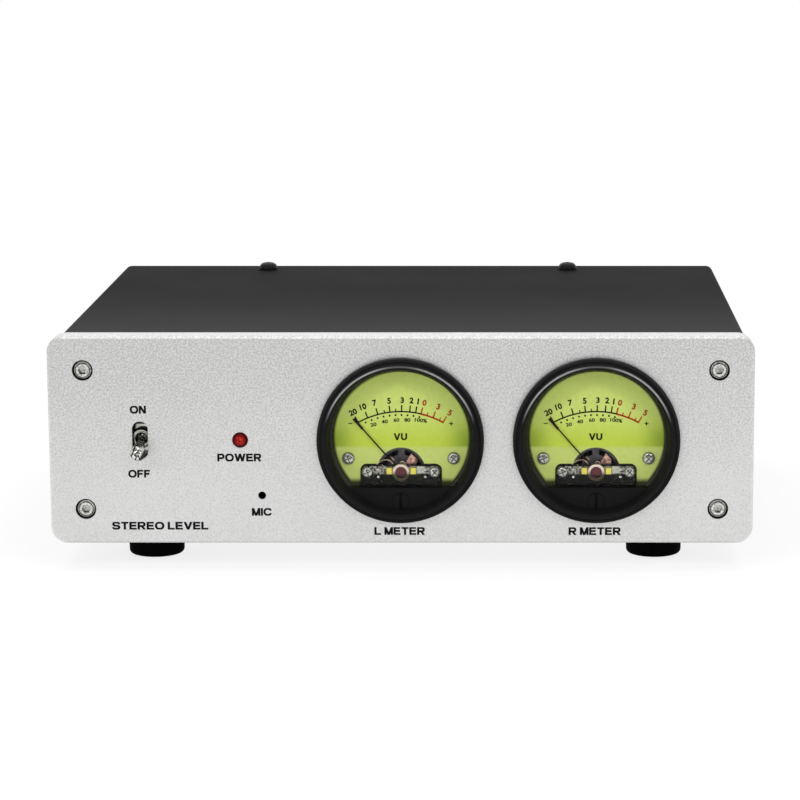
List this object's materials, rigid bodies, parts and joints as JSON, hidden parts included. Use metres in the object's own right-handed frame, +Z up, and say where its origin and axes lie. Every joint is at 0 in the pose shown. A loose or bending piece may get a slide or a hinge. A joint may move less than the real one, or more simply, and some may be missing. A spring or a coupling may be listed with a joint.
{
  "type": "analog level meter",
  "caption": "Desktop stereo level meter: metal box with a silver front panel, round moving-coil meters with green dials, a toggle switch and rear sockets.",
  "frame": {"origin": "on the surface it stands on, at the centre of its outline seen from above", "axes": "+Z up, front panel facing -Y, +X to the right seen from the front"},
  "size_m": [0.213, 0.1896, 0.0733],
  "materials": {
    "panel_silver": "bead blasted, clear anodised",
    "cover_black": "fine matt powder coat",
    "chassis_steel": "plain zinc-plated sheet",
    "foot_rubber": "matt",
    "screw_steel": "plated",
    "screw_black": "black oxide",
    "lever_chrome": "polished",
    "switch_plastic": "moulded",
    "led_red": "tinted lens",
    "mic_metal": "satin",
    "board_green": "solder mask",
    "chip_black": "moulded",
    "capacitor_sleeve": "shrink sleeve",
    "socket_nickel": "nickel plated",
    "socket_insulator": "moulded",
    "jack_black": "moulded",
    "knob_black": "moulded",
    "bezel_black": "moulded, glossy",
    "window_clear": "clear",
    "case_black": "moulded",
    "dial_green": "printed, satin",
    "dial_print_black": "ink",
    "dial_print_red": "ink",
    "panel_print_black": "silk-screen ink",
    "rear_print_white": "silk-screen ink",
    "magnet_steel": "plain",
    "bridge_nickel": "nickel plated",
    "jewel_nickel": "nickel plated",
    "jewel_core": "lacquered",
    "insulator_yellow": "moulded",
    "coil_copper": "enamelled wire",
    "pointer_black": "matt",
    "hairspring_bronze": "plain",
    "arm_copper": "plain",
    "adjuster_black": "moulded",
    "lamp_glass": "clear"
  },
  "bodies": {
    "enclosure": {"front_panel": "panel_silver", "chassis_tray": "chassis_steel", "rear_panel": "cover_black", "top_cover": "cover_black", "panel_screws": "screw_steel", "panel_nuts": "screw_steel", "cover_screws": "screw_black", "rear_panel_screws": "screw_black", "foot_front_left": "foot_rubber", "foot_front_right": "foot_rubber", "foot_rear_left": "foot_rubber", "foot_rear_right": "foot_rubber", "foot_screws": "screw_steel", "power_switch_body": "switch_plastic", "power_switch_bushing": "screw_steel", "power_switch_nut": "screw_steel", "power_led": "led_red", "mic_capsule": "mic_metal", "circuit_board": "board_green", "board_standoffs": "screw_steel", "board_screws": "screw_steel", "board_chips": "chip_black", "board_capacitors": "capacitor_sleeve", "input_socket_left": "socket_nickel", "input_socket_right": "socket_nickel", "dc_jack": "jack_black", "level_pot": "mic_metal", "dial_screws": "screw_steel", "bridge_screws": "screw_steel", "meter_terminals": "socket_nickel", "meter_lock_rings": "case_black", "meter_lamps": "lamp_glass", "left_bezel": "bezel_black", "left_window": "window_clear", "left_case": "case_black", "left_dial_plate": "dial_green", "left_magnet_yoke": "magnet_steel", "left_bridge": "bridge_nickel", "left_jewel_ring": "jewel_nickel", "right_bezel": "bezel_black", "right_window": "window_clear", "right_case": "case_black", "right_dial_plate": "dial_green", "right_magnet_yoke": "magnet_steel", "right_bridge": "bridge_nickel", "right_jewel_ring": "jewel_nickel"},
    "power_lever": {"power_lever": "lever_chrome"},
    "left_movement": {"left_pointer": "pointer_black", "left_coil": "coil_copper"},
    "left_adjuster": {"left_zero_adjuster": "adjuster_black"},
    "left_spring_arm": {"left_zero_arm": "arm_copper", "left_hairspring": "hairspring_bronze"},
    "right_movement": {"right_pointer": "pointer_black", "right_coil": "coil_copper"},
    "right_adjuster": {"right_zero_adjuster": "adjuster_black"},
    "right_spring_arm": {"right_zero_arm": "arm_copper", "right_hairspring": "hairspring_bronze"},
    "level_control": {"level_shaft": "mic_metal", "level_knob": "knob_black"}
  },
  "joints": [
    {"name": "power_lever_tilt", "type": "hinge", "parent": "enclosure", "child": "power_lever", "pos_m": [-0.0789, -0.08072, 0.0402], "axis": [-1, 0, 0], "range_deg": [0, 27]},
    {"name": "left_pointer_swing", "type": "hinge", "parent": "enclosure", "child": "left_movement", "pos_m": [-0.0003, -0.08322, 0.0298], "axis": [0, 1, 0], "range_deg": [0, 82], "stiffness_Nm_per_rad": 0.00002, "springref_deg": -11.46},
    {"name": "left_zero_turn", "type": "hinge", "parent": "enclosure", "child": "left_adjuster", "pos_m": [-0.0003, -0.08672, 0.0215], "axis": [0, 1, 0], "range_deg": [-40, 40]},
    {"name": "left_spring_arm_shift", "type": "hinge", "parent": "enclosure", "child": "left_spring_arm", "pos_m": [-0.0003, -0.08322, 0.0298], "axis": [0, 1, 0], "range_deg": [-5, 5]},
    {"name": "right_pointer_swing", "type": "hinge", "parent": "enclosure", "child": "right_movement", "pos_m": [0.0589, -0.08322, 0.0298], "axis": [0, 1, 0], "range_deg": [0, 82], "stiffness_Nm_per_rad": 0.00002, "springref_deg": -11.46},
    {"name": "right_zero_turn", "type": "hinge", "parent": "enclosure", "child": "right_adjuster", "pos_m": [0.0589, -0.08672, 0.0215], "axis": [0, 1, 0], "range_deg": [-40, 40]},
    {"name": "right_spring_arm_shift", "type": "hinge", "parent": "enclosure", "child": "right_spring_arm", "pos_m": [0.0589, -0.08322, 0.0298], "axis": [0, 1, 0], "range_deg": [-5, 5]},
    {"name": "level_turn", "type": "hinge", "parent": "enclosure", "child": "level_control", "pos_m": [-0.066, 0.08328, 0.0404], "axis": [0, 1, 0], "range_deg": [0, 300]}
  ],
  "couplings": [
    {"joint": "left_spring_arm_shift", "follows": "left_zero_turn", "ratio": -0.1216},
    {"joint": "right_spring_arm_shift", "follows": "right_zero_turn", "ratio": -0.1216}
  ]
}
